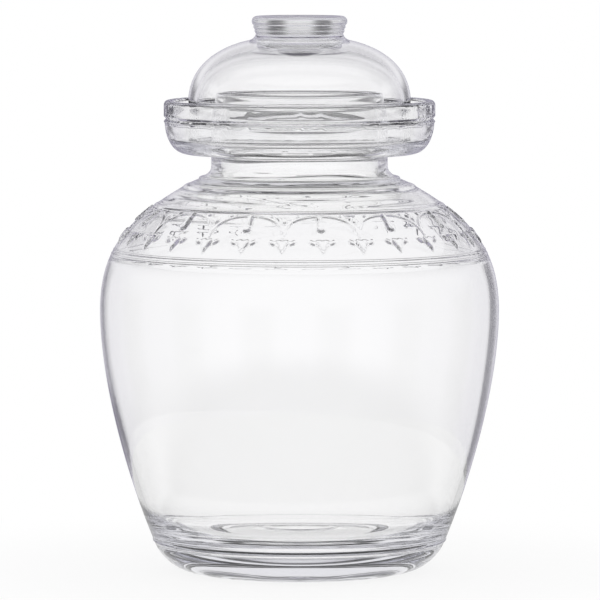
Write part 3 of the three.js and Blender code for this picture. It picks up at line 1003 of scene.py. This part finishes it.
@dataclass
class Studio:
    """A white table in a room with a white backdrop, grey walls, and dark screens, ceiling and ground.

    The walls and the dark parts show only in the glass, whose edges and folds they draw. What a ray of light
    shows depends on its depth, which is how many faces it has met, and on how often it was mirrored.
    """

    camera_distance: float = 2.75
    camera_degrees: float = 4.52
    camera_reach: float = 100.0
    view_height: float = 0.1353
    view_side: float = 0.00025
    view_width: float = 0.3
    sensor_mm: float = 36.0
    table_radius: float = 0.26
    table_rings: int = 8
    table_columns: int = 96
    table_gap_mm: float = 0.3
    table_shadow_radius: float = 0.13
    table_glow: float = 0.88
    # painted shade: beyond this radius the table glows darker for light that glass mirrored, seen only in the
    # glass
    table_painted_shade_radius: tuple[float, float] = (0.075, 0.1)
    table_painted_shade: float = 0.6
    table_painted_shade_depth: float = 3.5
    table_seen_depth: float = 2.5
    table: str = "F6F6F6"
    screens: int = 8
    screen_edge: float = 0.5
    screen_level: float = 0.03
    screen_top: tuple[float, float] = (0.0, 0.2)
    screen_depth: float = 4.5
    ceiling_level: float = 0.03
    ceiling_rise: tuple[float, float] = (0.18, 0.3)
    ground_level: float = 0.03
    ground_drop: tuple[float, float] = (-0.25, -0.4)
    deep_mirrors: float = 7.5
    skin_depth: float = 5.5
    backdrop: tuple[float, float] = (0.6, 0.95)
    pale_walls: tuple[float, float] = (-0.3, -0.8)
    room: str = "A7A3B4"
    room_front: str = "DFDDE8"
    bounces: int = 64
    mirror_bounces: int = 32

    def camera(self) -> bpy.types.Object:
        """Makes the camera, which looks slightly down on the crock from the front."""
        data = bpy.data.cameras.new("photo_camera")
        data.sensor_width = self.sensor_mm
        data.lens = self.sensor_mm * self.camera_distance / self.view_width
        data.clip_end = self.camera_reach
        camera = bpy.data.objects.new("photo_camera", data)
        tilt = math.radians(self.camera_degrees)
        camera.location = (self.view_side, -self.camera_distance * math.cos(tilt),
                           self.view_height + self.camera_distance * math.sin(tilt))
        camera.rotation_euler = (math.pi / 2.0 - tilt, 0.0, 0.0)
        bpy.context.scene.collection.objects.link(camera)
        bpy.context.scene.camera = camera
        return camera

    def light(self) -> None:
        """Makes the room's light.

        The camera and the matt table get plain white. Glass that is looked through shows the backdrop, or the
        walls where it mirrors them, darkened by what stands in the room. Glass that mirrors shows the walls,
        and they are darkened only for light that met many faces.
        """
        world = bpy.data.worlds.new("white_room")
        bpy.context.scene.world = world
        world.use_nodes = True
        tree = world.node_tree
        tree.nodes.clear()
        place = add_node(tree, "ShaderNodeTexCoord")
        direction = add_node(tree, "ShaderNodeSeparateXYZ", {0: place.outputs["Generated"]})
        path = add_node(tree, "ShaderNodeLightPath")
        near = add_node(tree, "ShaderNodeMath", {
            0: path.outputs["Ray Depth"], 1: self.skin_depth}, operation="LESS_THAN")
        level = self.room_level(tree, path, direction, near)
        walls = self.wall_colour(tree, direction, near)
        seen = self.seen_colour(tree, path, direction, walls)
        through = add_node(tree, "ShaderNodeBackground", {"Color": seen, "Strength": level})
        outer = add_node(tree, "ShaderNodeMath", {0: level, 1: near}, operation="MAXIMUM")
        mirrored = add_node(tree, "ShaderNodeBackground", {"Color": walls, "Strength": outer})
        plain = add_node(tree, "ShaderNodeBackground", {"Color": WHITE, "Strength": 1.0})
        in_glass = add_node(tree, "ShaderNodeMixShader", {
            0: path.outputs["Is Transmission Ray"], 1: mirrored, 2: through})
        direct = add_node(tree, "ShaderNodeMath", {
            0: path.outputs["Is Camera Ray"], 1: path.outputs["Is Diffuse Ray"]}, operation="MAXIMUM")
        shown = add_node(tree, "ShaderNodeMixShader", {0: direct, 1: in_glass, 2: plain})
        add_node(tree, "ShaderNodeOutputWorld", {"Surface": shown})

    def room_level(self, tree: bpy.types.NodeTree, path: bpy.types.Node, direction: bpy.types.Node,
                   near: bpy.types.Node) -> bpy.types.Node:
        """How bright the room is in each direction: the product of its screens, its ceiling and its ground.

        The ceiling and the ground are soft steps of the direction's height. Light that was mirrored once and
        met few faces sees no ceiling, and light that was mirrored very often sees nothing dark.

        Args:
            tree: the node tree that gets the nodes.
            path: its light path node.
            direction: where the light comes from, as three parts.
            near: 1 for light that met few faces, otherwise 0.

        Returns:
            The node with the level, from 0 to 1.
        """
        ceiling, ground = (
            add_node(tree, "ShaderNodeMapRange", {
                "Value": direction.outputs["Z"], "From Min": start, "From Max": end, "To Min": 1.0,
                "To Max": level,
            }, interpolation_type="SMOOTHSTEP")
            for (start, end), level in (
                (self.ceiling_rise, self.ceiling_level), (self.ground_drop, self.ground_level))
        )
        mirrors = path.outputs["Glossy Depth"]
        once = add_node(tree, "ShaderNodeMath", {0: mirrors, 1: 1.0, 2: 0.5}, operation="COMPARE")
        skin = add_node(tree, "ShaderNodeMath", {0: once, 1: near}, operation="MULTIPLY")
        overhead = add_node(tree, "ShaderNodeMath", {0: ceiling, 1: skin}, operation="MAXIMUM")
        over = add_node(tree, "ShaderNodeMath", {0: overhead, 1: ground}, operation="MULTIPLY")
        standing = self.screens_seen(tree, path, direction)
        shade = add_node(tree, "ShaderNodeMath", {0: standing, 1: over}, operation="MULTIPLY")
        deep = add_node(tree, "ShaderNodeMath", {0: mirrors, 1: self.deep_mirrors}, operation="GREATER_THAN")
        return add_node(tree, "ShaderNodeMath", {0: shade, 1: deep}, operation="MAXIMUM")

    def screens_seen(self, tree: bpy.types.NodeTree, path: bpy.types.Node,
                     direction: bpy.types.Node) -> bpy.types.Node:
        """How bright the room is with its screens, which stand low.

        A screen's shade is a soft step of cos(n a), where a is the direction round the room and n the number
        of screens in a full turn. Light that met many faces does not see them.

        Args:
            tree: the node tree that gets the nodes.
            path: its light path node.
            direction: where the light comes from, as three parts.

        Returns:
            The node with the level, from 0 to 1.
        """
        x, y, z = direction.outputs
        around = add_node(tree, "ShaderNodeMath", {0: x, 1: y}, operation="ARCTAN2")
        turns = add_node(tree, "ShaderNodeMath", {0: around, 1: float(self.screens)}, operation="MULTIPLY")
        wave = add_node(tree, "ShaderNodeMath", {0: turns}, operation="COSINE")
        screen = add_node(tree, "ShaderNodeMapRange", {
            "Value": wave, "From Min": self.screen_edge, "From Max": -1.0, "To Min": 1.0,
            "To Max": self.screen_level,
        }, interpolation_type="SMOOTHSTEP")
        low, high = self.screen_top
        above = add_node(tree, "ShaderNodeMapRange", {
            "Value": z, "From Min": low, "From Max": high}, interpolation_type="SMOOTHSTEP")
        far = add_node(tree, "ShaderNodeMath", {
            0: path.outputs["Ray Depth"], 1: self.screen_depth}, operation="GREATER_THAN")
        hidden = add_node(tree, "ShaderNodeMath", {0: above, 1: far}, operation="MAXIMUM")
        return add_node(tree, "ShaderNodeMath", {0: screen, 1: hidden}, operation="MAXIMUM")

    def wall_colour(self, tree: bpy.types.NodeTree, direction: bpy.types.Node,
                    near: bpy.types.Node) -> bpy.types.NodeSocket:
        """The colour of the room's walls: grey at the sides, and pale where the camera stands.

        Light that met many faces of glass comes from all over the room and is white.

        Args:
            tree: the node tree that gets the nodes.
            direction: where the light comes from, as three parts.
            near: 1 for light that met few faces, otherwise 0.

        Returns:
            The colour's socket.
        """
        side, front = self.pale_walls
        ahead = add_node(tree, "ShaderNodeMapRange", {
            "Value": direction.outputs["Y"], "From Min": side, "From Max": front,
        }, interpolation_type="SMOOTHSTEP")
        colour = add_node(tree, "ShaderNodeMix", {
            "Factor": ahead, "A": linear_colour(self.room), "B": linear_colour(self.room_front),
        }, data_type="RGBA")
        mixed = add_node(tree, "ShaderNodeMix", {
            "Factor": near, "A": WHITE, "B": colour.outputs["Result"]}, data_type="RGBA")
        return mixed.outputs["Result"]

    def seen_colour(self, tree: bpy.types.NodeTree, path: bpy.types.Node, direction: bpy.types.Node,
                    walls: bpy.types.NodeSocket) -> bpy.types.NodeSocket:
        """The colour that light brings into the glass: white, or that of the walls where glass mirrors them.

        Args:
            tree: the node tree that gets the nodes.
            path: its light path node.
            direction: where the light comes from, as three parts.
            walls: the walls' colour.

        Returns:
            The colour's socket.
        """
        front, back = self.backdrop
        mirrors = add_node(tree, "ShaderNodeMath", {
            0: path.outputs["Glossy Depth"], 1: 0.5}, operation="GREATER_THAN")
        nearer = add_node(tree, "ShaderNodeMapRange", {
            "Value": direction.outputs["Y"], "From Min": back, "From Max": front,
        }, interpolation_type="SMOOTHSTEP")
        grey = add_node(tree, "ShaderNodeMath", {0: mirrors, 1: nearer}, operation="MULTIPLY")
        colour = add_node(tree, "ShaderNodeMix", {"Factor": grey, "A": WHITE, "B": walls}, data_type="RGBA")
        return colour.outputs["Result"]

    def table_top(self) -> bpy.types.Object:
        """Makes the round white table top, a disc whose rings run from its middle to its edge."""
        mesh = TurnedMesh()
        mesh.pole(-self.table_gap_mm)
        radius = np.linspace(0.0, self.table_radius / MM, self.table_rings + 1)[1:]
        flat = np.stack([radius, np.full_like(radius, -self.table_gap_mm)], axis=1)
        mesh.band(turn(flat, np.zeros_like(flat), self.table_columns)[:, ::-1])
        top = mesh.piece("white_table", self.table_glow_with_painted_shade())
        return top

    def table_glow_with_painted_shade(self) -> bpy.types.Material:
        """White laminate: a pale matt sheet that glows white, so evenly that it takes only a faint shadow
        near the crock.

        It glows evenly for light that met several faces. Round the foot, for light that glass mirrors, it
        carries painted shade: it glows darker there, in a ring that shows only in the glass.

        Returns:
            The material.
        """
        material = bpy.data.materials.new("white_laminate_with_painted_shade")
        material.use_nodes = True
        tree = material.node_tree
        tree.nodes.clear()
        matt = add_node(tree, "ShaderNodeBsdfDiffuse", {"Color": linear_colour(self.table)})
        path = add_node(tree, "ShaderNodeLightPath")
        depth = path.outputs["Ray Depth"]
        place = add_node(tree, "ShaderNodeTexCoord")
        away = add_node(tree, "ShaderNodeVectorMath", {0: place.outputs["Object"]}, operation="LENGTH")
        low, high = self.table_painted_shade_radius
        outside = add_node(tree, "ShaderNodeMapRange", {
            "Value": away.outputs["Value"], "From Min": low, "From Max": high,
        }, interpolation_type="SMOOTHSTEP")
        mirrors = add_node(tree, "ShaderNodeMath", {
            0: path.outputs["Glossy Depth"], 1: 0.5}, operation="GREATER_THAN")
        near = add_node(tree, "ShaderNodeMath", {0: depth, 1: self.table_painted_shade_depth}, operation="LESS_THAN")
        edge = add_node(tree, "ShaderNodeMath", {0: near, 1: mirrors}, operation="MULTIPLY")
        # painted shade: the table's glow is dimmed round the foot for light that glass mirrored
        shade = add_node(tree, "ShaderNodeMath", {0: outside, 1: edge}, operation="MULTIPLY")
        level = add_node(tree, "ShaderNodeMapRange", {
            "Value": shade, "To Min": 1.0, "To Max": self.table_painted_shade})
        glow = add_node(tree, "ShaderNodeEmission", {"Color": WHITE, "Strength": level})
        even = add_node(tree, "ShaderNodeMapRange", {
            "Value": away.outputs["Value"], "From Min": self.table_shadow_radius,
            "From Max": self.table_radius, "To Min": self.table_glow, "To Max": 1.0,
        }, interpolation_type="SMOOTHSTEP")
        seen = add_node(tree, "ShaderNodeMath", {
            0: depth, 1: self.table_seen_depth}, operation="GREATER_THAN")
        glowing = add_node(tree, "ShaderNodeMath", {0: even, 1: seen}, operation="MAXIMUM")
        lit = add_node(tree, "ShaderNodeMath", {
            0: 1.0, 1: path.outputs["Is Diffuse Ray"]}, operation="SUBTRACT")
        share = add_node(tree, "ShaderNodeMath", {0: lit, 1: glowing}, operation="MULTIPLY")
        mixed = add_node(tree, "ShaderNodeMixShader", {0: share, 1: matt, 2: glow})
        add_node(tree, "ShaderNodeOutputMaterial", {"Surface": mixed})
        return material

    def build(self) -> None:
        """Sets up the camera, the room, the table, plain colours and enough bounces for thick glass."""
        self.camera()
        self.light()
        self.table_top()
        scene = bpy.context.scene
        scene.view_settings.view_transform = "Standard"
        scene.cycles.max_bounces = self.bounces
        scene.cycles.transmission_bounces = self.bounces
        scene.cycles.glossy_bounces = self.mirror_bounces


def main() -> None:
    """Builds the studio and the two pieces of glass in order."""
    logging.basicConfig(level=logging.INFO, format="%(name)s: %(message)s")
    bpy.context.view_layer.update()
    Studio().build()
    glass = ClearGlass().material()
    jar = Jar(glass)
    lid = Lid(glass, jar.seat_height, jar.lip_height)
    for maker in (jar, lid):
        piece = maker.build()
        LOG.info("%s: %d vertices, %d faces", piece.name, len(piece.data.vertices), len(piece.data.polygons))


if __name__ == "__main__":
    main()
